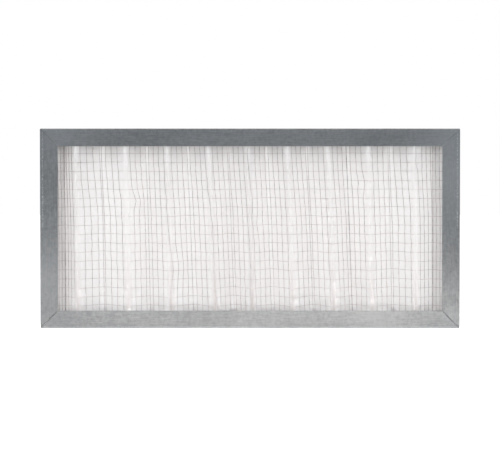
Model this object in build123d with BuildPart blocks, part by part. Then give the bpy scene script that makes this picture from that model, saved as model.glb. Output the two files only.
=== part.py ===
from build123d import *

import os

# Pleated panel air filter: a folded sheet of filter media with a welded wire mesh on its front,
# held in a channel frame of two folded L-shaped halves that are lapped and riveted at two corners.
# X runs along the length, Y through the depth with the mesh side at -Y, and Z is up.
# The origin is at the middle of the bottom face. All sizes are in millimetres.

# Channel frame
frame_length = 592.0
frame_height = 282.0
frame_depth = 48.0
sheet = 0.7
flange_width = 25.0
bend_radius = 1.2
corner_radius = 2.0
fold_slit = 0.3
joint_gap = 0.6

# Lap joints at the two open corners
tab_length = 24.0
tab_side_play = 1.8
rivet_diameter = 3.2
rivet_play = 0.1
rivet_head_diameter = 6.4
rivet_head_height = 1.0
rivet_head_edge = 0.3
rivet_crown_diameter = 3.6
rivet_bulb_diameter = 4.4
rivet_bulb_length = 2.2

# Filter media, folded into pleats that run up the panel
media_thickness = 4.0
pleat_pitch = 58.0
edge_pleat_pitch = 40.0
edge_crest_inset = 18.0
fold_land = 5.0
fold_radius = 3.5
media_end_play = 0.5

# Welded wire mesh that is folded with the media
wire = 0.9
mesh_pitch = 12.7
mesh_edge = 5.2
mesh_front_play = 0.3

# Heights and depths that the pieces share
mid_height = frame_height / 2
mid_depth = frame_depth / 2
media_bottom = bend_radius
media_height = frame_height - 2 * bend_radius
mesh_seat = media_thickness / 2
crest_y = -mid_depth + sheet + mesh_front_play + wire + mesh_seat
trough_y = mid_depth - sheet - media_thickness / 2

# Places along the length: the crest behind each side flange, the crest next to it, and the media's end
hidden_crest = frame_length / 2 - edge_crest_inset
edge_crest = hidden_crest - edge_pleat_pitch
media_end = (
    frame_length / 2 - 2 * sheet - rivet_bulb_length - media_end_play - mesh_seat - 2 * wire
)
whole_pleats = max(round(edge_crest / pleat_pitch) - 1, 0)


def crest_places():
    """Middles of all crests from left to right: even ones in the middle, wider and narrower at the ends."""
    even = [pleat_pitch * step for step in range(-whole_pleats, whole_pleats + 1)]
    return [-hidden_crest, -edge_crest] + even + [edge_crest, hidden_crest]


def mid_line():
    """Corners of the line at the middle of the media: a short flat at every fold and straight flanks."""
    crests = crest_places()
    corners = [Vector(-media_end, trough_y)]
    for crest, following in zip(crests, crests[1:] + [None]):
        corners.append(Vector(crest - fold_land / 2, crest_y))
        corners.append(Vector(crest + fold_land / 2, crest_y))
        if following is not None:
            trough = (crest + following) / 2
            corners.append(Vector(trough - fold_land / 2, trough_y))
            corners.append(Vector(trough + fold_land / 2, trough_y))
    corners.append(Vector(media_end, trough_y))
    return corners


def layer_line(distance):
    """The mid line moved by a distance towards the front, with its corners mitred."""
    corners = mid_line()
    runs = [(after - before).normalized() for before, after in zip(corners, corners[1:])]
    facing = [Vector(run.Y, -run.X) for run in runs]
    pairs = zip([facing[0]] + facing, facing + [facing[-1]])
    return [
        corner + (before + after) * (distance / (1 + before.dot(after)))
        for corner, (before, after) in zip(corners, pairs)
    ]


def layer_outline(near, far):
    """Closed outline of a layer that follows the folds between two distances from the mid line."""
    with BuildLine() as outline:
        front = Polyline(*layer_line(far))
        back = Polyline(*layer_line(near))
        Line(front @ 0, back @ 0)
        Line(front @ 1, back @ 1)
    return outline.line


# Filter media: sharp inside each fold, rounded outside it
with BuildPart() as filter_media:
    with BuildSketch(Plane.XY.offset(media_bottom)) as section:
        make_face(layer_outline(-media_thickness / 2, media_thickness / 2).edges())
        rows = section.vertices().group_by(Axis.Y)
        fillet(rows[0] + rows[-1], fold_radius)
    extrude(amount=media_height)
filter_media.part.label = "filter_media"

# Cross wires: each one is bent over every pleat and lies on the media
cross_count = int((media_height - mesh_edge - wire / 2) / mesh_pitch) + 1
cross_levels = [media_bottom + mesh_edge - wire / 2 + mesh_pitch * row for row in range(cross_count)]
with BuildPart() as mesh_cross_wires:
    with BuildSketch(*[Plane.XY.offset(level) for level in cross_levels]):
        make_face(layer_outline(mesh_seat, mesh_seat + wire).edges())
    extrude(amount=wire)
mesh_cross_wires.part.label = "mesh_cross_wires"

# Upright wires: straight, welded to the front of the cross wires, evenly spaced on each flank
weld_line = layer_line(mesh_seat + wire)
with BuildPart() as mesh_upright_wires:
    with BuildSketch(Plane.XY.offset(media_bottom)):
        for start, end in zip(weld_line[::2], weld_line[1::2]):
            flank = end - start
            middle = (start + end) / 2
            count = int((flank.length - wire) / mesh_pitch) + 1
            slope = Vector(1, 0).get_signed_angle(flank, Vector(0, 0, 1))
            with Locations(Location((middle.X, middle.Y), slope)):
                with GridLocations(mesh_pitch, wire, count, 1):
                    Rectangle(wire, wire, align=(Align.CENTER, Align.MAX))
    extrude(amount=media_height)
mesh_upright_wires.part.label = "mesh_upright_wires"


def rivet_seat(side):
    """Plane on the side web where a corner is riveted: the top right corner for 1, bottom left for -1."""
    height = mid_height + side * (mid_height - tab_length / 2)
    return Plane(origin=(side * frame_length / 2, 0, height), x_dir=(0, 1, 0), z_dir=(side, 0, 0))


def frame_half(side):
    """One L-shaped half of the channel frame: the top left one for 1, the bottom right one for -1."""
    start = (-side * frame_length / 2, 0, mid_height - side * mid_height)
    fold = (-side * frame_length / 2, 0, mid_height + side * mid_height)
    end = (side * frame_length / 2, 0, mid_height + side * mid_height)
    web_width = frame_depth - 2 * bend_radius
    # At an open corner, x runs across the leg from its outer face and y runs along the leg
    start_corner = Plane(origin=start, x_dir=(side, 0, 0), z_dir=(0, -1, 0))
    end_corner = Plane(origin=end, x_dir=(0, 0, -side), z_dir=(0, 1, 0))
    fold_corner = Plane(origin=fold, x_dir=(side, 0, 0), z_dir=(0, 1, 0))
    with BuildPart() as half:
        # The channel section is carried round the folded corner
        with BuildLine() as run:
            Polyline(start, fold, end)
        with BuildSketch(Plane(origin=start, x_dir=(side, 0, 0), z_dir=(0, 0, side))):
            with BuildLine():
                FilletPolyline(
                    (flange_width, -mid_depth),
                    (0, -mid_depth),
                    (0, mid_depth),
                    (flange_width, mid_depth),
                    radius=bend_radius,
                )
                offset(amount=sheet, side=Side.RIGHT)
            make_face()
        sweep(path=run.line, transition=Transition.RIGHT)

        # Both ends are mitred, with half of the joint's gap on each frame half
        half_gap = joint_gap / 2**0.5
        with BuildSketch(start_corner, end_corner):
            with BuildLine():
                Polyline((0, half_gap), (flange_width, flange_width + half_gap), (flange_width, 0), (0, 0))
                Line((0, 0), (0, half_gap))
            make_face()
        extrude(amount=mid_depth, both=True, mode=Mode.SUBTRACT)

        # At the folded corner the flanges are slit on the mitre and notched, and the web is bent round
        with BuildSketch(fold_corner):
            Rectangle(corner_radius, corner_radius, align=Align.MIN)
            with Locations(Location((0, 0), 45)):
                Rectangle(2 * flange_width, fold_slit, align=(Align.MIN, Align.CENTER))
        extrude(amount=mid_depth, both=True, mode=Mode.SUBTRACT)
        with BuildSketch(fold_corner):
            Rectangle(corner_radius, corner_radius, align=Align.MIN)
            with Locations((corner_radius, corner_radius)):
                Circle(corner_radius, mode=Mode.INTERSECT)
                Circle(corner_radius - sheet, mode=Mode.SUBTRACT)
        extrude(amount=web_width / 2, both=True)

        # The web of the far end is bent into a tab that laps inside the other half's web
        bend_start = sheet + bend_radius
        with BuildSketch(end_corner):
            Rectangle(sheet, bend_start, align=Align.MIN)
        extrude(amount=web_width / 2, both=True, mode=Mode.SUBTRACT)
        with BuildSketch(end_corner):
            with BuildLine():
                FilletPolyline(
                    (0, bend_start + bend_radius), (0, sheet), (tab_length, sheet), radius=bend_radius
                )
                offset(amount=sheet, side=Side.LEFT)
            make_face()
        extrude(amount=web_width / 2 - tab_side_play, both=True)

        # Rivet holes: one through the tab, one through the web that the other half's tab laps
        with BuildSketch(rivet_seat(1), rivet_seat(-1)):
            Circle((rivet_diameter + rivet_play) / 2)
        extrude(amount=-2 * sheet, mode=Mode.SUBTRACT)
    return half


def blind_rivet(seat):
    """A set rivet: a low tapered head on the web's outer face, the shank, and the set end behind the tab."""
    grip = 2 * sheet
    with BuildPart() as rivet:
        with BuildSketch(Plane(origin=seat.origin, x_dir=seat.x_dir, z_dir=seat.x_dir.cross(seat.z_dir))):
            with BuildLine():
                Polyline(
                    (0, rivet_head_height),
                    (rivet_crown_diameter / 2, rivet_head_height),
                    (rivet_head_diameter / 2, rivet_head_edge),
                    (rivet_head_diameter / 2, 0),
                    (rivet_diameter / 2, 0),
                    (rivet_diameter / 2, -grip),
                    (rivet_bulb_diameter / 2, -grip),
                    (rivet_bulb_diameter / 2, -grip - rivet_bulb_length),
                    (0, -grip - rivet_bulb_length),
                    close=True,
                )
            make_face()
        revolve(axis=Axis(seat.origin, seat.z_dir))
    return rivet


top_left_half = frame_half(1)
top_left_half.part.label = "frame_top_left_half"
bottom_right_half = frame_half(-1)
bottom_right_half.part.label = "frame_bottom_right_half"
top_right_rivet = blind_rivet(rivet_seat(1))
top_right_rivet.part.label = "rivet_top_right"
bottom_left_rivet = blind_rivet(rivet_seat(-1))
bottom_left_rivet.part.label = "rivet_bottom_left"

os.makedirs("parts", exist_ok=True)
export_step(filter_media.part, "parts/filter_media.step")
export_step(mesh_cross_wires.part, "parts/mesh_cross_wires.step")
export_step(mesh_upright_wires.part, "parts/mesh_upright_wires.step")
export_step(top_left_half.part, "parts/frame_top_left_half.step")
export_step(bottom_right_half.part, "parts/frame_bottom_right_half.step")
export_step(top_right_rivet.part, "parts/rivet_top_right.step")
export_step(bottom_left_rivet.part, "parts/rivet_bottom_left.step")
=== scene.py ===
"""Pleated panel air filter: the looks around its CAD frame.

The channel frame is galvanised sheet steel, the pleated media is non-woven polyester fleece, and a
welded wire mesh is folded with the media in front of it. Sizes are in metres, with Z up and the mesh
side at -Y.
"""

import math
import random

import bmesh
import bpy
from mathutils import Matrix, Vector, noise


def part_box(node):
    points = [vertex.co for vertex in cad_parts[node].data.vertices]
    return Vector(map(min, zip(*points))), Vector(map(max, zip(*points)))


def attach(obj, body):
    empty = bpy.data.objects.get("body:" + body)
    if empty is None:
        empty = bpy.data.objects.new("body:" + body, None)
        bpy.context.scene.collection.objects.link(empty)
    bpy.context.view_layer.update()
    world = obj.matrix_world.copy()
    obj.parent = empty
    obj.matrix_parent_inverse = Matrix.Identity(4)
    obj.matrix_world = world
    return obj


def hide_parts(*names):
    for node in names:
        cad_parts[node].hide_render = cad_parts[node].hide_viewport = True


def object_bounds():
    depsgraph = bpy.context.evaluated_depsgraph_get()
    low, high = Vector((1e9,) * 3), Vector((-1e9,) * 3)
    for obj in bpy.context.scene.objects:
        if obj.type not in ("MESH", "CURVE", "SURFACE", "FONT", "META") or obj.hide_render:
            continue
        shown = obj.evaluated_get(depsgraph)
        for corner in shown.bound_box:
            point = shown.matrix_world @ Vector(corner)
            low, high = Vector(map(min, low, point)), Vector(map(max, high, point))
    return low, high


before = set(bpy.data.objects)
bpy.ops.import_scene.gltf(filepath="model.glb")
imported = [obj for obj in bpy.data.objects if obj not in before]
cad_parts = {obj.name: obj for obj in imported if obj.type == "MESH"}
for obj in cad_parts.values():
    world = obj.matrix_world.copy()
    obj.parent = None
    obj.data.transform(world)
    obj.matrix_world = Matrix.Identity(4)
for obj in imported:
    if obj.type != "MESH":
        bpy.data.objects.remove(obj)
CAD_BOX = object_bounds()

bl_info = {
    "name": "Pleated panel air filter",
    "version": (1, 0, 0),
    "blender": (4, 5, 0),
    "location": "View3D > Sidebar > Filter",
    "description": "Builds a pleated panel air filter around its CAD frame",
    "category": "Object",
}

MM = 0.001

FRAME_NODES = ("frame_top_left_half", "frame_bottom_right_half")
RIVET_NODES = ("rivet_top_right", "rivet_bottom_left")

# Height of the frame's middle, and X of the outer face of its right side web
MIDDLE_Z = (CAD_BOX[0][2] + CAD_BOX[1][2]) / 2
WEB_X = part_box("frame_bottom_right_half")[1].x

# Fold lines of the media, in millimetres from the panel's middle: at the window's top, then at its foot
CREST_LINES = (
    (-278.0, -278.0),
    (-245.9, -243.4),
    (-175.6, -171.4),
    (-117.6, -111.0),
    (-59.2, -49.2),
    (-3.2, 4.2),
    (52.6, 61.2),
    (109.2, 119.2),
    (166.4, 172.6),
    (232.6, 235.0),
    (279.0, 279.0),
)
TROUGH_LINES = (
    (-288.0, -288.0),
    (-263.0, -262.5),
    (-211.6, -208.0),
    (-147.6, -142.4),
    (-88.6, -80.4),
    (-31.4, -22.4),
    (24.8, 32.6),
    (80.4, 90.0),
    (137.0, 146.0),
    (198.8, 203.6),
    (259.4, 259.8),
    (288.0, 288.0),
)
LINE_TOP_Z = 0.256
LINE_FOOT_Z = 0.026

# The pleats beside the frame's sides are squeezed, and their back folds stay nearer to the front
EDGE_TROUGH_SHARE = 0.6

# Heights of the soft lumps in the fleece, each with its waves a metre
FLEECE_LUMPS = ((0.0008, 45), (0.0004, 140))

# From the middle of the media to the middle of the cross wires, and of the uprights welded onto them
CROSS_WIRE_SEAT = 0.00245
UPRIGHT_SEAT = 0.00305

# Dents in the mesh: fold that it lies by, height, reach in folds, half height, and push along the folds
MESH_DENTS = (
    (5.25, 0.180, 0.5, 0.016, 0.16),
    (7.2, 0.085, 0.6, 0.040, 0.12),
    (11.3, 0.150, 0.5, 0.024, -0.10),
    (16.8, 0.205, 0.5, 0.020, 0.10),
)

# Lighter patches painted on the frame as highlights, where it should reflect more light: x, z, reach, and
# strength
THICK_COAT = (
    (0.288, 0.220, 0.110, 0.45),
    (-0.288, 0.073, 0.066, 0.32),
    (-0.275, 0.275, 0.060, 0.32),
    (0.288, 0.276, 0.050, 0.25),
    (0.284, 0.014, 0.026, 0.22),
)

# Strength of the painted highlight on the bend at the frame's foot, and on the bends of its top leg
FOOT_LINE_STRENGTH = 0.4
TOP_BEND_STRENGTH = 0.35

# Half section of a set blind rivet in millimetres: radius, and distance out from the web's face.
# It runs from the end of the drawn pin, sunk in the head, over the head and down the shank.
RIVET_SECTION = (
    (0.0, 0.35),
    (0.95, 0.35),
    (0.95, 0.95),
    (1.45, 1.0),
    (2.2, 0.82),
    (2.9, 0.42),
    (3.2, 0.12),
    (3.15, 0.0),
    (1.6, 0.0),
    (1.6, -1.4),
    (2.2, -1.4),
    (2.2, -3.6),
    (0.0, -3.6),
)


# Settings


def number(name, text, default, **options):
    """A number that the panel shows."""
    return bpy.props.FloatProperty(name=name, description=text, default=default, **options)


def metres(name, text, default, **limits):
    """A length that the panel shows in the scene's units."""
    return number(name, text, default, unit="LENGTH", **limits)


def watts(name, text, default):
    """The power of a lamp."""
    return number(name, text, default, subtype="POWER", min=0.0)


def colour(name, text, default):
    """An sRGB colour written as a hex value."""
    return bpy.props.StringProperty(name=name, description=text, default=default)


class FrameSettings(bpy.types.PropertyGroup):
    zinc_dark: colour("Zinc, dark", "Dark clouds of the zinc coat", "#999A9B")
    zinc_light: colour("Zinc, light", "Light clouds of the zinc coat", "#B8B8B8")
    # Colour of the lighter patches painted on the frame as highlights
    zinc_thick: colour("Zinc, thick", "Patches where the zinc coat is thick", "#D0D2D3")
    # Colour of the painted highlights on the bends and on the top right mitre
    bare_edge: colour("Bare edge", "Specks at the bends, and the top right mitre", "#E6E8E9")
    # Colour of the painted shade along the gap in the two lower mitres
    seam_dirt: colour("Seam dirt", "Dirt in the two lower mitres", "#66696B")
    cloud_size: metres("Cloud size", "Width of the clouds in the zinc coat", 0.0045, min=0.001)
    broad_size: metres("Broad size", "Width of the broadest clouds in the zinc coat", 0.12, min=0.01)
    streak_length: metres("Streak length", "Length of the rolling streaks", 0.022, min=0.002)
    streak_width: metres("Streak width", "Width of the rolling streaks", 0.0015, min=0.0005)
    speck_size: metres("Speck size", "Distance between specks along a bend", 0.0024, min=0.0005)
    seam_width: metres("Seam width", "Half width of the soft line at a mitre", 0.0016, min=0.0005)


class RivetSettings(bpy.types.PropertyGroup):
    dark: colour("Aluminium, dark", "Dull spots on a rivet", "#A9ABAD")
    light: colour("Aluminium, light", "Bright spots on a rivet", "#C9CBCC")
    mark_size: metres("Mark size", "Width of the marks that tumbling leaves", 0.0011, min=0.0002)


class MediaSettings(bpy.types.PropertyGroup):
    thickness: metres("Thickness", "Thickness of the fleece with its lumps", 0.004, min=0.002)
    lump_room: metres("Lump room", "Part of the thickness that the lumps take up", 0.0012)
    flank: metres("Flank", "Length of fleece from fold to fold", 0.0505, min=0.01)
    crest_run: metres("Crest run", "Length that a fold at the front bends round", 0.008, min=0.001)
    trough_run: metres("Trough run", "Length that a fold at the back bends round", 0.018, min=0.001)
    clump_size: metres("Clump size", "Width of the smallest clumps of fibre", 0.0038, min=0.0005)
    lump_size: metres("Lump size", "Width of the thicker spots", 0.014, min=0.002)
    fleece: colour("Fleece", "Colour of the polyester fleece", "#FBF8F7")
    fleece_shade: colour("Fleece, thin", "Colour of the fleece where it is thin", "#F4F0EF")
    # Colour of the painted shade on the front folds
    fleece_worn: colour("Fleece, handled", "Colour of the fleece on the front folds", "#B6B0AE")


class MeshSettings(bpy.types.PropertyGroup):
    wire: metres("Wire", "Diameter of the upright wires", 0.00075, min=0.0002)
    cross_wire: metres("Cross wire", "Diameter of the cross wires", 0.00052, min=0.0002)
    pitch: metres("Pitch", "Distance between cross wires", 0.0127, min=0.002)
    drop: metres("Drop", "Height that the cross wires have slipped down", 0.0007)
    sway: metres("Sway", "Height that a cross wire rises or falls from fold to fold", 0.0006)
    lean: number("Lean", "Share of a flank that the uprights lean over", 0.14)
    wires_a_flank: bpy.props.IntProperty(
        name="Uprights a flank", description="Upright wires on one flank of a pleat", default=4, min=1
    )
    zinc: colour("Zinc", "Colour of the zinc on the wires", "#DAD1D0")
    zinc_dull: colour("Zinc, dull", "Colour of the zinc where it is dull", "#B8AFAE")
    uneven_size: metres("Uneven size", "Length over which the zinc changes", 0.0055, min=0.0005)


class StageSettings(bpy.types.PropertyGroup):
    floor: colour("Floor", "Colour of the floor", "#F4F4F4")
    floor_glow: number("Floor glow", "Light added to the floor that the camera sees", 0.5, min=0.0)
    camera_distance: metres("Camera distance", "From the camera to the filter's front", 3.4)
    camera_height: metres("Camera height", "Height of the camera above the floor", 0.25)
    aim_height: metres("Aim height", "Height that the camera is aimed at", 0.146)
    lens: number("Lens", "Focal length in mm", 173.7)
    front_power: watts("Front", "Power of the front lamp", 14.0)
    side_power: watts("Sides", "Power of each side lamp", 9.0)
    foot_power: watts("Foot", "Power of the lamp aimed at the foot", 0.35)
    strip_power: watts("Strip", "Power of the low strip lamp", 0.07)
    ambient: number("Ambient", "Strength of the soft light all round", 0.98, min=0.0)
    flag: colour("Flag", "Colour of the dark cloth that the metal reflects", "#818A92")
    flag_start: metres("Flag start", "From the filter to the dark cloth on the floor", 1.4)
    flag_distance: metres("Flag distance", "From the filter to the standing cloth", 5.0)
    flag_height: metres("Flag height", "Height of the standing cloth", 3.0)


def linear(hex_colour):
    """An sRGB hex colour as linear RGBA."""
    parts = [int(hex_colour[place : place + 2], 16) / 255 for place in (1, 3, 5)]
    return [part / 12.92 if part <= 0.04045 else ((part + 0.055) / 1.055) ** 2.4 for part in parts] + [1.0]


# Materials


def node(tree, kind, inputs=None, **settings):
    """Adds a shader node with its settings, and its inputs as values or as links from nodes or sockets."""
    added = tree.nodes.new("ShaderNode" + kind)
    for name, value in settings.items():
        setattr(added, name, value)
    for name, value in (inputs or {}).items():
        if isinstance(value, bpy.types.Node):
            value = next(socket for socket in value.outputs if socket.enabled)
        if isinstance(value, bpy.types.NodeSocket):
            tree.links.new(value, added.inputs[name])
        else:
            added.inputs[name].default_value = value
    return added


def new_material(name):
    """An empty node material, and its tree."""
    material = bpy.data.materials.new(name)
    material.use_nodes = True
    material.node_tree.nodes.clear()
    return material, material.node_tree


def two_tones(tree, pattern, low, high, first, second):
    """Two hex colours blended as a pattern's value goes from low to high."""
    share = node(tree, "MapRange", {"Value": pattern, "From Min": low, "From Max": high})
    return node(tree, "Mix", {"Factor": share, "A": linear(first), "B": linear(second)}, data_type="RGBA")


def soft_band(tree, value, centre, half_width):
    """A factor that is 1 in the middle of a band, and falls off smoothly to 0 at its edges."""
    off = node(tree, "Math", {0: value, 1: centre}, operation="SUBTRACT")
    off = node(tree, "Math", {0: off}, operation="ABSOLUTE")
    return node(
        tree,
        "MapRange",
        {"Value": off, "From Min": 0.0, "From Max": half_width, "To Min": 1.0, "To Max": 0.0},
        interpolation_type="SMOOTHSTEP",
    )


def galvanised_sheet(settings):
    """Hot-dip galvanised steel sheet, rolled: dull grey zinc with soft clouds and streaks along each leg.

    Highlights are painted on the bends, the top right mitre and some patches; shade is painted in the lower
    mitres.
    """
    material, tree = new_material("galvanised_sheet_rolled")
    place = node(tree, "TexCoord").outputs["Object"]
    axes = node(tree, "SeparateXYZ", {"Vector": place}).outputs
    front_y = CAD_BOX[0][1]

    # Distances from the outer faces of the side webs and of the end webs tell the legs apart
    off_side = node(tree, "Math", {0: axes["X"]}, operation="ABSOLUTE")
    from_side = node(tree, "Math", {0: WEB_X, 1: off_side}, operation="SUBTRACT")
    up = node(tree, "Math", {0: axes["Z"], 1: MIDDLE_Z}, operation="SUBTRACT")
    off_middle = node(tree, "Math", {0: up}, operation="ABSOLUTE")
    from_end = node(tree, "Math", {0: MIDDLE_Z, 1: off_middle}, operation="SUBTRACT")
    from_edge = node(tree, "Math", {0: from_side, 1: from_end}, operation="MINIMUM")
    upright_leg = node(tree, "Math", {0: from_side, 1: from_end}, operation="LESS_THAN")

    # Rolling streaks run along each leg, over the clouds of the zinc
    along, across = 1 / settings.streak_length, 1 / settings.streak_width
    streaks = []
    for scale in ((along, across, across), (across, across, along)):
        stretched = node(tree, "Mapping", {"Vector": place, "Scale": scale})
        streaks.append(
            node(tree, "TexNoise", {"Vector": stretched, "Scale": 1.0, "Detail": 3.0, "Roughness": 0.6})
        )
    streak = node(tree, "Mix", {"Factor": upright_leg, "A": streaks[0], "B": streaks[1]})
    cloud = node(
        tree,
        "TexNoise",
        {"Vector": place, "Scale": 1 / settings.cloud_size, "Detail": 4.0, "Roughness": 0.65},
    )
    broad = node(tree, "TexNoise", {"Vector": place, "Scale": 1 / settings.broad_size, "Detail": 1.0})
    fine = node(tree, "Mix", {"Factor": 0.5, "A": cloud, "B": streak})
    mixed = node(tree, "Mix", {"Factor": 0.25, "A": fine, "B": broad})
    tone = two_tones(tree, mixed, 0.41, 0.59, settings.zinc_dark, settings.zinc_light)

    # Seams, bends and the foot are marked on the front flange alone
    front = node(tree, "Math", {0: axes["Y"], 1: front_y + 3 * MM}, operation="LESS_THAN")
    upper = node(tree, "Math", {0: 0.0, 1: up}, operation="LESS_THAN")
    lower = node(tree, "Math", {0: 1.0, 1: upper}, operation="SUBTRACT")
    right = node(tree, "Math", {0: 0.0, 1: axes["X"]}, operation="LESS_THAN")
    seam = soft_band(tree, from_side, from_end, settings.seam_width)

    # A painted highlight runs along each bend as specks a few millimetres apart, fainter on the top leg
    specks = node(tree, "TexNoise", {"Vector": place, "Scale": 1 / settings.speck_size, "Detail": 2.0})
    specks = node(
        tree, "MapRange", {"Value": specks, "From Min": 0.5, "From Max": 0.6, "To Min": 0.15, "To Max": 1.0}
    )
    by_leg = node(tree, "Math", {0: upright_leg, 1: TOP_BEND_STRENGTH}, operation="MAXIMUM")
    bend_line = soft_band(tree, from_edge, 3.7 * MM, 1.4 * MM)
    foot_line = soft_band(tree, axes["Z"], 1.6 * MM, 1.8 * MM)

    # Each mark is a colour, and the factors that are multiplied to place it
    marks = []
    # Painted highlights: lighter patches where the metal should reflect more light
    for x, z, reach, strength in THICK_COAT:
        away = node(tree, "VectorMath", {0: place, 1: (x, front_y, z)}, operation="DISTANCE")
        marks.append((settings.zinc_thick, soft_band(tree, away, 0.0, reach), strength))
    marks += [
        # Painted highlights on the bends, on the bend at the foot, and on the top right mitre
        (settings.bare_edge, bend_line, front, upper, specks, by_leg),
        (settings.bare_edge, foot_line, front, FOOT_LINE_STRENGTH),
        (settings.bare_edge, seam, front, upper, right),
        # Painted shade along the gap in the two lower mitres
        (settings.seam_dirt, seam, front, lower),
    ]
    for hex_colour, share, *factors in marks:
        for factor in factors:
            share = node(tree, "Math", {0: share, 1: factor}, operation="MULTIPLY")
        tone = node(tree, "Mix", {"Factor": share, "A": tone, "B": linear(hex_colour)}, data_type="RGBA")

    rough = node(
        tree, "MapRange", {"Value": mixed, "From Min": 0.3, "From Max": 0.7, "To Min": 0.38, "To Max": 0.34}
    )
    bump = node(tree, "Bump", {"Strength": 0.1, "Distance": 0.4 * MM, "Height": fine})
    shader = node(
        tree, "BsdfPrincipled", {"Base Color": tone, "Metallic": 1.0, "Roughness": rough, "Normal": bump}
    )
    node(tree, "OutputMaterial", {"Surface": shader})
    return material


def polyester_fleece(settings):
    """Air-laid polyester fleece: matt white fibre that light spreads through, with thin and thick spots.

    Its front folds carry painted shade, a grey that dims them towards the brightness of the flanks.
    """
    material, tree = new_material("polyester_fleece_air_laid")
    place = node(tree, "TexCoord").outputs["Object"]
    # Fibres of 0.02 mm are too fine to show, so the finest pattern is the clumps that they form
    clumps = node(
        tree,
        "TexNoise",
        {"Vector": place, "Scale": 1 / settings.clump_size, "Detail": 5.0, "Roughness": 0.7},
    )
    lumps = node(
        tree,
        "TexNoise",
        {"Vector": place, "Scale": 1 / settings.lump_size, "Detail": 3.0, "Roughness": 0.6},
    )
    mixed = node(tree, "Mix", {"Factor": 0.5, "A": clumps, "B": lumps})
    clean = two_tones(tree, mixed, 0.35, 0.6, settings.fleece_shade, settings.fleece)
    # Painted shade on the front folds, read from a float attribute of the mesh
    worn = node(tree, "Attribute", attribute_name="crest_wear").outputs["Fac"]
    tone = node(
        tree, "Mix", {"Factor": worn, "A": clean, "B": linear(settings.fleece_worn)}, data_type="RGBA"
    )
    bump = node(tree, "Bump", {"Strength": 0.4, "Distance": 0.6 * MM, "Height": mixed})
    shader = node(
        tree,
        "BsdfPrincipled",
        {
            "Base Color": tone,
            "Roughness": 1.0,
            "Normal": bump,
            "Subsurface Weight": 1.0,
            "Subsurface Radius": (0.034, 0.033, 0.032),
            "Subsurface Scale": 1.0,
            "Sheen Weight": 0.15,
            "Specular IOR Level": 0.1,
        },
    )
    node(tree, "OutputMaterial", {"Surface": shader})
    return material


def uneven_metal(name, size, detail, dull, bright, roughness):
    """A metal whose tone drifts between two hex colours over a size."""
    material, tree = new_material(name)
    place = node(tree, "TexCoord").outputs["Object"]
    uneven = node(tree, "TexNoise", {"Vector": place, "Scale": 1 / size, "Detail": detail})
    tone = two_tones(tree, uneven, 0.3, 0.7, dull, bright)
    shader = node(tree, "BsdfPrincipled", {"Base Color": tone, "Metallic": 1.0, "Roughness": roughness})
    node(tree, "OutputMaterial", {"Surface": shader})
    return material


def galvanised_wire(settings):
    """Drawn galvanised wire: dull grey zinc, a little uneven along its length.

    The marks of the drawing die are too fine to show, so only the drift of the zinc's tone is drawn.
    """
    name = "galvanised_wire_drawn"
    return bpy.data.materials.get(name) or uneven_metal(
        name, settings.uneven_size, 2.0, settings.zinc_dull, settings.zinc, 0.35
    )


def rivet_aluminium(settings):
    """Tumbled aluminium of a blind rivet: light grey, half dull, with marks drawn coarser than they are."""
    return uneven_metal(
        "rivet_aluminium_tumbled", settings.mark_size, 3.0, settings.dark, settings.light, 0.38
    )


# The folded surface that the media and the mesh share


def fade(height, top, run):
    """0 above a height, and 1 from a run below it."""
    return min(1.0, max(0.0, (top - height) / run))


def line_place(line, height):
    """X of a fold line at a height."""
    share = (LINE_TOP_Z - height) / (LINE_TOP_Z - LINE_FOOT_Z)
    return (line[0] + (line[1] - line[0]) * share) * MM


class FoldedSurface:
    """Middle of the folded media.

    A place along it counts flanks from the left edge, so whole numbers are folds, and odd ones are at
    the front. A place, a height and a distance towards the front give a point.
    """

    def __init__(self, settings):
        self.low, self.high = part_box("filter_media")
        half = settings.thickness / 2
        depth = self.high.y - self.low.y - settings.thickness
        self.lines = [line for pair in zip(TROUGH_LINES, CREST_LINES) for line in pair]
        self.lines.append(TROUGH_LINES[-1])
        self.last = len(self.lines) - 1
        # Half of each fold's run as a share of a flank: a fold at the back, then one at the front
        self.shares = [run / 2 / settings.flank for run in (settings.trough_run, settings.crest_run)]
        # A rounded fold stays short of its corner, so the corners stand further out
        trough_y = self.high.y - half + 0.5 * self.shares[0] * depth
        crest_y = self.low.y + half - 0.5 * self.shares[1] * depth
        self.depths = [crest_y if number % 2 else trough_y for number in range(self.last + 1)]
        for number in (0, self.last):
            self.depths[number] = self.high.y - half
        for number in (2, self.last - 2):
            self.depths[number] = crest_y + (trough_y - crest_y) * EDGE_TROUGH_SHARE

    def corner(self, number, height):
        """The sharp corner of a fold at a height."""
        return Vector((line_place(self.lines[number], height), self.depths[number], height))

    def middle(self, place, height):
        """The media's middle at a place: on a flank, or on the curve that rounds a fold."""
        nearest = round(place)
        share = self.shares[nearest % 2]
        off = place - nearest
        if abs(off) < share and 0 < nearest < self.last:
            corner = self.corner(nearest, height)
            before = corner.lerp(self.corner(nearest - 1, height), share)
            after = corner.lerp(self.corner(nearest + 1, height), share)
            along = (off + share) / (2 * share)
            return before.lerp(corner, along).lerp(corner.lerp(after, along), along)
        start = min(max(math.floor(place), 0), self.last - 1)
        return self.corner(start, height).lerp(self.corner(start + 1, height), place - start)

    def point(self, place, height, to_front):
        """A point at a distance from the media's middle, square to it."""
        step = 0.01
        run = self.middle(min(place + step, self.last), height) - self.middle(max(place - step, 0), height)
        facing = Vector((run.y, -run.x, 0)).normalized()
        return self.middle(place, height) + facing * to_front


# Pieces


def mesh_object(name, built):
    """An object at the origin from a finished bmesh."""
    mesh = bpy.data.meshes.new(name)
    built.to_mesh(mesh)
    built.free()
    piece = bpy.data.objects.new(name, mesh)
    bpy.context.scene.collection.objects.link(piece)
    return piece


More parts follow.
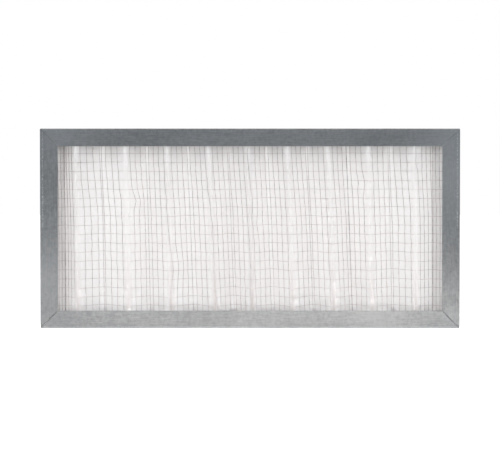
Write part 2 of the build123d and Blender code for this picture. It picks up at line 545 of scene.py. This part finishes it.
def wires_object(name, paths, diameter):
    """One mesh of round wires along their paths."""
    curve = bpy.data.curves.new(name, "CURVE")
    curve.dimensions = "3D"
    curve.bevel_depth = diameter / 2
    # Six sides are enough for wires this thin
    curve.bevel_resolution = 1
    curve.use_fill_caps = True
    for path in paths:
        spline = curve.splines.new("POLY")
        spline.points.add(len(path) - 1)
        for point, place in zip(spline.points, path):
            point.co = (*place, 1.0)
    holder = bpy.data.objects.new(name + "_curve", curve)
    bpy.context.scene.collection.objects.link(holder)
    mesh = bpy.data.meshes.new_from_object(holder.evaluated_get(bpy.context.evaluated_depsgraph_get()))
    mesh.name = name
    bpy.data.objects.remove(holder)
    bpy.data.curves.remove(curve)
    piece = bpy.data.objects.new(name, mesh)
    bpy.context.scene.collection.objects.link(piece)
    return piece


def finish_piece(piece, material, node_name):
    """Smooths a piece, gives it its material and body, and hides the CAD node that it stands for."""
    piece.data.polygons.foreach_set("use_smooth", [True] * len(piece.data.polygons))
    piece.data.materials.clear()
    piece.data.materials.append(material)
    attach(piece, "root")
    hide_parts(node_name)


class FILTER_OT_frame(bpy.types.Operator):
    """Dresses the two channel halves in galvanised sheet"""

    bl_idname = "filter.frame"
    bl_label = "Channel frame"

    def execute(self, context):
        material = galvanised_sheet(context.scene.filter_frame)
        for name in FRAME_NODES:
            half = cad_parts[name]
            half.data.materials.clear()
            half.data.materials.append(material)
        return {"FINISHED"}


class FILTER_OT_rivets(bpy.types.Operator):
    """Builds the two blind rivets with domed heads and the sunk end of the drawn pin"""

    bl_idname = "filter.rivets"
    bl_label = "Blind rivets"

    def execute(self, context):
        material = rivet_aluminium(context.scene.filter_rivets)
        for name in RIVET_NODES:
            low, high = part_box(name)
            side = 1 if low.x > 0 else -1
            built = bmesh.new()
            points = [built.verts.new((radius * MM, 0, out * MM)) for radius, out in RIVET_SECTION]
            edges = [built.edges.new(pair) for pair in zip(points, points[1:])]
            bmesh.ops.spin(
                built,
                geom=points + edges,
                cent=(0, 0, 0),
                axis=(0, 0, 1),
                angle=math.tau,
                steps=32,
                use_merge=True,
                use_duplicate=False,
            )
            bmesh.ops.remove_doubles(built, verts=built.verts, dist=1e-6)
            bmesh.ops.recalc_face_normals(built, faces=built.faces)
            turn = Matrix.Rotation(side * math.pi / 2, 4, "Y")
            seat = Matrix.Translation((side * WEB_X, 0, (low.z + high.z) / 2))
            bmesh.ops.transform(built, matrix=seat @ turn, verts=built.verts)
            finish_piece(mesh_object("domed_" + name, built), material, name)
        return {"FINISHED"}


class FILTER_OT_media(bpy.types.Operator):
    """Builds the folded fleece"""

    bl_idname = "filter.media"
    bl_label = "Pleated media"

    columns_a_flank = 18
    rows = 70
    # How far the columns crowd towards the folds, from 0 to 1
    crowding = 0.7
    # Reach of the painted shade from a front fold, as a share of a flank
    wear_reach = 0.16
    # The painted shade starts this far below the media's top, and sets in over this run
    wear_top_gap, wear_top_run = 0.03, 0.025
    # From this height down, it doubles over this run
    wear_foot_height, wear_foot_run = 0.1, 0.06

    def wear(self, place, height, top):
        """Painted shade greys the front folds, most of all near their foot, but not under the flange."""
        near = max(0.0, 1 - abs(place % 2 - 1) / self.wear_reach)
        started = fade(height, top - self.wear_top_gap, self.wear_top_run)
        doubled = fade(height, self.wear_foot_height, self.wear_foot_run)
        return near * started * (0.5 + 0.5 * doubled)

    def execute(self, context):
        settings = context.scene.filter_media
        surface = FoldedSurface(settings)
        low, high = surface.low, surface.high
        built = bmesh.new()
        bmesh.ops.create_grid(
            built, x_segments=surface.last * self.columns_a_flank, y_segments=self.rows, size=0.5
        )
        crest_wear = built.verts.layers.float.new("crest_wear")
        for vert in built.verts:
            place = (vert.co.x + 0.5) * surface.last
            place -= self.crowding * math.sin(math.tau * place) / math.tau
            height = low.z + (vert.co.y + 0.5) * (high.z - low.z)
            point = surface.point(place, height, 0.0)
            soft = sum(noise.noise(point * waves) * rise for rise, waves in FLEECE_LUMPS)
            from_end = min(place, surface.last - place, 1.0)
            vert.co = surface.point(place, height, soft * from_end)
            # Painted shade on the front folds, stored as a float on each vertex
            vert[crest_wear] = self.wear(place, height, high.z)
        piece = mesh_object("pleated_media", built)
        solid = piece.modifiers.new("fleece_thickness", "SOLIDIFY")
        solid.thickness = settings.thickness - settings.lump_room
        solid.offset = 0.0
        solid.use_rim = True
        finish_piece(piece, polyester_fleece(settings), "filter_media")
        # Flat, the sheet is as wide as its CAD solid's folded line is long, and as high as that solid
        return {"FINISHED"}


class FILTER_OT_cross_wires(bpy.types.Operator):
    """Builds the cross wires, bent over every pleat"""

    bl_idname = "filter.cross_wires"
    bl_label = "Cross wires"

    seed = 4
    steps_a_flank = 8
    # Height that a wire strays by at each step
    jitter = 0.0002

    def execute(self, context):
        settings = context.scene.filter_mesh
        surface = FoldedSurface(context.scene.filter_media)
        chance = random.Random(self.seed)
        low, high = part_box("mesh_cross_wires")
        bottom, top = low.z + settings.wire / 2, high.z - settings.wire / 2
        count = round((top - bottom) / settings.pitch) + 1
        paths = []
        for row in range(count):
            level = bottom + row * settings.pitch - settings.drop
            offsets = [chance.uniform(-1, 1) for _ in range(surface.last + 2)]
            path = []
            for step in range(surface.last * self.steps_a_flank + 1):
                place = step / self.steps_a_flank
                before = int(place)
                share = place - before
                sway = offsets[before] * (1 - share) + offsets[before + 1] * share
                height = level + settings.sway * sway + chance.uniform(-self.jitter, self.jitter)
                path.append(surface.point(place, min(max(height, bottom), top), CROSS_WIRE_SEAT))
            paths.append(path)
        piece = wires_object("folded_cross_wires", paths, settings.cross_wire)
        finish_piece(piece, galvanised_wire(settings), "mesh_cross_wires")
        return {"FINISHED"}


class FILTER_OT_upright_wires(bpy.types.Operator):
    """Builds the upright wires, welded to the front of the cross wires"""

    bl_idname = "filter.upright_wires"
    bl_label = "Upright wires"

    seed = 11
    # Shares of a flank: how far its wires sit off centre, each kink at a cross wire, and the gap that
    # a wire keeps from either end of the media
    off_centre = 0.1
    kink_size = 0.012
    end_gap = 0.02
    # Least and most of the lean setting that a flank's wires take
    lean_range = (0.4, 1.2)
    # The lean starts at this height, and ends a run further down
    lean_height, lean_run = 0.25, 0.11

    def drift(self, lean, height):
        """The wires lean over in a smooth S in the upper half of the panel."""
        down = fade(height, self.lean_height, self.lean_run)
        return lean * (down * down * (3 - 2 * down) - 0.5)

    def dent(self, place, height):
        """Push along the folds where something has struck the mesh."""
        push = 0.0
        for fold, level, reach, rise, shift in MESH_DENTS:
            across = max(0.0, 1 - abs(place - fold) / reach)
            along = max(0.0, 1 - abs(height - level) / rise)
            push += shift * across * along
        return push

    def execute(self, context):
        settings = context.scene.filter_mesh
        surface = FoldedSurface(context.scene.filter_media)
        chance = random.Random(self.seed)
        low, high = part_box("mesh_upright_wires")
        # Two steps for each cross wire
        steps = 2 * round((high.z - low.z) / settings.pitch)
        share = 1 / settings.wires_a_flank
        paths = []
        for flank in range(surface.last):
            lean = settings.lean * chance.uniform(*self.lean_range)
            offset = chance.uniform(-self.off_centre, self.off_centre)
            for number_on_flank in range(settings.wires_a_flank):
                place = flank + (number_on_flank + 0.5) * share + offset
                path = []
                for step in range(steps + 1):
                    height = low.z + (high.z - low.z) * step / steps
                    if step % 2 == 0:
                        kink = chance.uniform(-self.kink_size, self.kink_size)
                    at = place + kink + self.drift(lean, height) + self.dent(place, height)
                    at = min(max(at, self.end_gap), surface.last - self.end_gap)
                    path.append(surface.point(at, height, UPRIGHT_SEAT))
                paths.append(path)
        piece = wires_object("upright_wires", paths, settings.wire)
        finish_piece(piece, galvanised_wire(settings), "mesh_upright_wires")
        return {"FINISHED"}


# Stage


def aim(thing, target):
    """Turns a lamp or the camera to a point."""
    thing.rotation_euler = (Vector(target) - thing.location).to_track_quat("-Z", "Y").to_euler()


def add_lamp(name, place, target, size, power):
    """A rectangular soft lamp."""
    lamp = bpy.data.lights.new(name, "AREA")
    lamp.shape = "RECTANGLE"
    lamp.size, lamp.size_y = size
    lamp.energy = power
    thing = bpy.data.objects.new(name, lamp)
    thing.location = place
    aim(thing, target)
    bpy.context.scene.collection.objects.link(thing)
    return thing


def add_floor(settings):
    """A matt floor that the camera sees as white, and that keeps the filter's shadow."""
    built = bmesh.new()
    bmesh.ops.create_grid(built, x_segments=1, y_segments=1, size=6.0)
    floor = mesh_object("floor", built)
    material, tree = new_material("matt_white_floor")
    path = node(tree, "LightPath").outputs
    seen = node(
        tree, "Math", {0: path["Is Camera Ray"], 1: path["Is Transmission Ray"]}, operation="MAXIMUM"
    )
    matt = node(tree, "BsdfDiffuse", {"Color": linear(settings.floor)})
    strength = node(tree, "Math", {0: seen, 1: settings.floor_glow}, operation="MULTIPLY")
    glow = node(tree, "Emission", {"Color": (1, 1, 1, 1), "Strength": strength})
    both = node(tree, "AddShader", {0: matt, 1: glow})
    node(tree, "OutputMaterial", {"Surface": both})
    floor.data.materials.append(material)


def add_world(settings):
    """Soft light all round, with a white background for the camera, gloss and glass."""
    world = bpy.data.worlds.new("white_studio")
    bpy.context.scene.world = world
    world.use_nodes = True
    tree = world.node_tree
    tree.nodes.clear()
    path = node(tree, "LightPath").outputs
    seen = node(tree, "Math", {0: path["Is Camera Ray"], 1: path["Is Glossy Ray"]}, operation="MAXIMUM")
    seen = node(tree, "Math", {0: seen, 1: path["Is Transmission Ray"]}, operation="MAXIMUM")
    white = node(tree, "Background", {"Color": (1, 1, 1, 1), "Strength": 1.0})
    soft = node(tree, "Background", {"Color": (1, 1, 1, 1), "Strength": settings.ambient})
    both = node(tree, "MixShader", {0: seen, 1: soft, 2: white})
    node(tree, "OutputWorld", {"Surface": both})


def add_lamps(settings):
    """Broad lamps light the media, a narrow one reaches its foot, and a strip lights the low flange."""
    for name, place, size, power in (
        ("front_lamp", (0.0, -3.4, 0.8), (1.0, 0.6), settings.front_power),
        ("left_lamp", (-1.2, -2.7, 1.2), (1.0, 1.0), settings.side_power),
        ("right_lamp", (1.2, -2.7, 1.2), (1.0, 1.0), settings.side_power),
    ):
        lamp = add_lamp(name, place, (0, 0, 0.14), size, power)
        lamp.visible_glossy = False
    foot = add_lamp("foot_lamp", (0.0, -0.8, 0.5), (0, 0, -0.03), (1.1, 0.06), settings.foot_power)
    foot.visible_camera = False
    foot.visible_glossy = False
    foot.data.spread = math.radians(10)
    strip = add_lamp(
        "low_strip_lamp", (0.035, -0.2, 0.012), (0.035, 0, 0.012), (0.58, 0.03), settings.strip_power
    )
    strip.visible_camera = False
    strip.data.color = (1.0, 0.955, 0.92)


def add_flag(settings):
    """A dark ring of cloth round the set, on the floor and then upright, that only metal reflects."""
    lift = 2 * MM
    built = bmesh.new()
    rim = bmesh.ops.create_circle(built, segments=48, radius=settings.flag_start)["verts"]
    bmesh.ops.translate(built, verts=rim, vec=(0, 0, lift))
    for height in (0.0, settings.flag_height):
        edges = [edge for edge in built.edges if all(vert in rim for vert in edge.verts)]
        grown = bmesh.ops.extrude_edge_only(built, edges=edges)["geom"]
        rim = [item for item in grown if isinstance(item, bmesh.types.BMVert)]
        for vert in rim:
            flat = Vector((vert.co.x, vert.co.y, 0)).normalized() * settings.flag_distance
            vert.co = (flat.x, flat.y, lift + height)
    flag = mesh_object("dark_flag", built)
    material, tree = new_material("black_flag_cloth")
    dull = node(tree, "Emission", {"Color": linear(settings.flag), "Strength": 1.0})
    # A reflection's own ray has a depth of 1, and light that has bounced again passes through
    depth = node(tree, "LightPath").outputs["Ray Depth"]
    later = node(tree, "Math", {0: depth, 1: 1.5}, operation="GREATER_THAN")
    both = node(tree, "MixShader", {0: later, 1: dull, 2: node(tree, "BsdfTransparent")})
    node(tree, "OutputMaterial", {"Surface": both})
    flag.data.materials.append(material)
    for kind in ("camera", "diffuse", "transmission", "volume_scatter", "shadow"):
        setattr(flag, "visible_" + kind, False)


def add_camera(settings):
    """The camera in front of the filter, a little above its middle."""
    lens = bpy.data.cameras.new("camera")
    lens.sensor_width = 36.0
    lens.sensor_fit = "HORIZONTAL"
    lens.lens = settings.lens
    camera = bpy.data.objects.new("camera", lens)
    front = CAD_BOX[0][1]
    camera.location = (0, front - settings.camera_distance, settings.camera_height)
    aim(camera, (0, front, settings.aim_height))
    bpy.context.scene.collection.objects.link(camera)
    bpy.context.scene.camera = camera


class FILTER_OT_stage(bpy.types.Operator):
    """Sets up the floor, the world, the lamps, the dark cloth and the camera"""

    bl_idname = "filter.stage"
    bl_label = "Stage"

    def execute(self, context):
        settings = context.scene.filter_stage
        for add in (add_floor, add_world, add_lamps, add_flag, add_camera):
            add(settings)
        context.scene.view_settings.view_transform = "Standard"
        return {"FINISHED"}


OPERATORS = (
    FILTER_OT_stage,
    FILTER_OT_frame,
    FILTER_OT_rivets,
    FILTER_OT_media,
    FILTER_OT_cross_wires,
    FILTER_OT_upright_wires,
)
GROUPS = {
    "filter_frame": FrameSettings,
    "filter_rivets": RivetSettings,
    "filter_media": MediaSettings,
    "filter_mesh": MeshSettings,
    "filter_stage": StageSettings,
}


class FILTER_PT_panel(bpy.types.Panel):
    """Lists the filter's pieces and the stage"""

    bl_idname = "FILTER_PT_panel"
    bl_label = "Panel air filter"
    bl_space_type = "VIEW_3D"
    bl_region_type = "UI"
    bl_category = "Filter"

    def draw(self, context):
        for name, group in GROUPS.items():
            column = self.layout.column(align=True)
            for setting in group.__annotations__:
                column.prop(getattr(context.scene, name), setting)
        for operator in OPERATORS:
            self.layout.operator(operator.bl_idname)


def register():
    for name, group in GROUPS.items():
        bpy.utils.register_class(group)
        setattr(bpy.types.Scene, name, bpy.props.PointerProperty(type=group))
    for made in (*OPERATORS, FILTER_PT_panel):
        bpy.utils.register_class(made)


def unregister():
    for made in reversed((*OPERATORS, FILTER_PT_panel)):
        bpy.utils.unregister_class(made)
    for name, group in GROUPS.items():
        delattr(bpy.types.Scene, name)
        bpy.utils.unregister_class(group)


def main():
    register()
    for operator in OPERATORS:
        group, name = operator.bl_idname.split(".")
        getattr(getattr(bpy.ops, group), name)()


if __name__ == "__main__":
    main()
